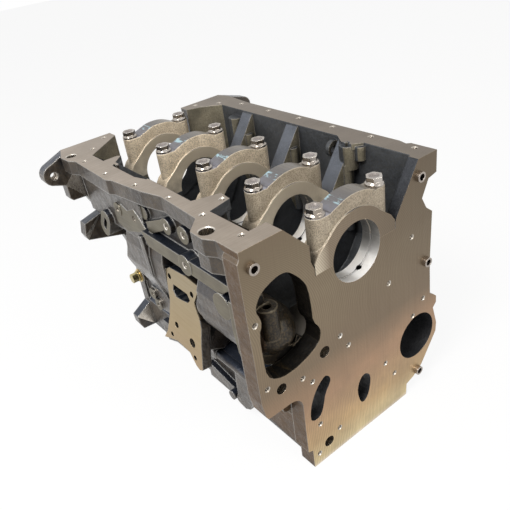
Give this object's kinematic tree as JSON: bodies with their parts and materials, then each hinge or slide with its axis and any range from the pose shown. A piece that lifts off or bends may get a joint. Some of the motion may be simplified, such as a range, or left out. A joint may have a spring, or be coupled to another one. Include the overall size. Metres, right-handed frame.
{
  "type": "engine block",
  "caption": "In-line engine block in one casting, standing on its head face, with open crank bays, bulkheads and bolted main bearing caps.",
  "frame": {"origin": "on the head face (deck), in the crank plane, midway along the row of cylinders", "axes": "+X along the crankshaft towards the timing end, +Z from the head face towards the sump rail, +Y towards the plain side"},
  "size_m": [0.44, 0.368, 0.34],
  "materials": {
    "cast_block": "as-cast iron with a film of oil, milled on its joint faces",
    "cast_cap": "sandy as-cast iron with machined ring and feet",
    "bolt_steel": "bright bolt steel",
    "dowel_steel": "ground steel",
    "plug_steel": "pressed steel",
    "zinc_plug": "yellow zinc plated steel",
    "washer_brass": "soft brass"
  },
  "bodies": {
    "root": {"cylinder_block": "cast_block", "main_cap_1": "cast_cap", "main_cap_2": "cast_cap", "main_cap_3": "cast_cap", "main_cap_4": "cast_cap", "main_cap_5": "cast_cap", "main_bolt_1": "bolt_steel", "main_bolt_2": "bolt_steel", "main_bolt_3": "bolt_steel", "main_bolt_4": "bolt_steel", "main_bolt_5": "bolt_steel", "main_bolt_6": "bolt_steel", "main_bolt_7": "bolt_steel", "main_bolt_8": "bolt_steel", "main_bolt_9": "bolt_steel", "main_bolt_10": "bolt_steel", "timing_dowel_1": "dowel_steel", "timing_dowel_2": "dowel_steel", "timing_dowel_3": "dowel_steel", "timing_dowel_4": "dowel_steel", "deck_dowel_front": "dowel_steel", "deck_dowel_rear": "dowel_steel", "flywheel_dowel_near": "dowel_steel", "flywheel_dowel_far": "dowel_steel", "core_plug_1": "plug_steel", "core_plug_2": "plug_steel", "core_plug_3": "plug_steel", "gallery_plug": "plug_steel", "drain_plug": "zinc_plug", "drain_washer": "washer_brass"}
  },
  "joints": []
}
